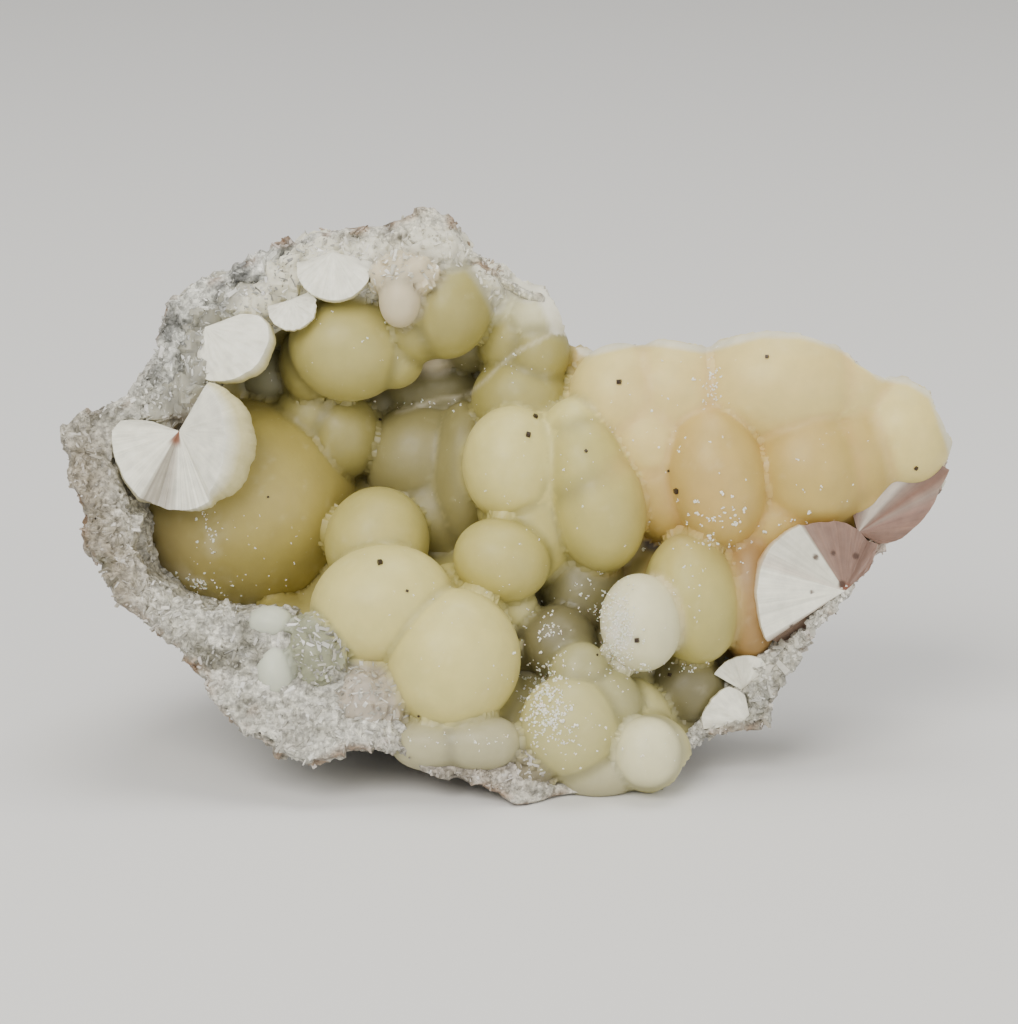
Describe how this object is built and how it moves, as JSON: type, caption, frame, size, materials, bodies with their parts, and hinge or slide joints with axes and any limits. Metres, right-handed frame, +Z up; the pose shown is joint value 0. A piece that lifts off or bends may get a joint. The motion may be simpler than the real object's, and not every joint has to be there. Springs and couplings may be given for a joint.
{
  "type": "pectolite mineral specimen",
  "caption": "Pectolite specimen: waxy cream to olive balls lining a broken hollow in white crystalline rock, some of them broken open into radiating white fans; rests on its flat underside.",
  "frame": {"origin": "middle of the bounding box's base, on the surface that the specimen rests on", "axes": "+X along the specimen's width, to the viewer's right when its hollow is seen from in front; +Y away from that viewer, out of the hidden back; +Z up"},
  "size_m": [0.1098, 0.0525, 0.068],
  "materials": {
    "matrix": "rough white to grey crystalline rock with sparkling grains and thin brown stains",
    "pectolite": "waxy cream to olive, a little translucent, with silky white fibres where it is broken"
  },
  "bodies": {
    "root": {"matrix": "matrix", "pectolite": "pectolite"}
  },
  "joints": []
}
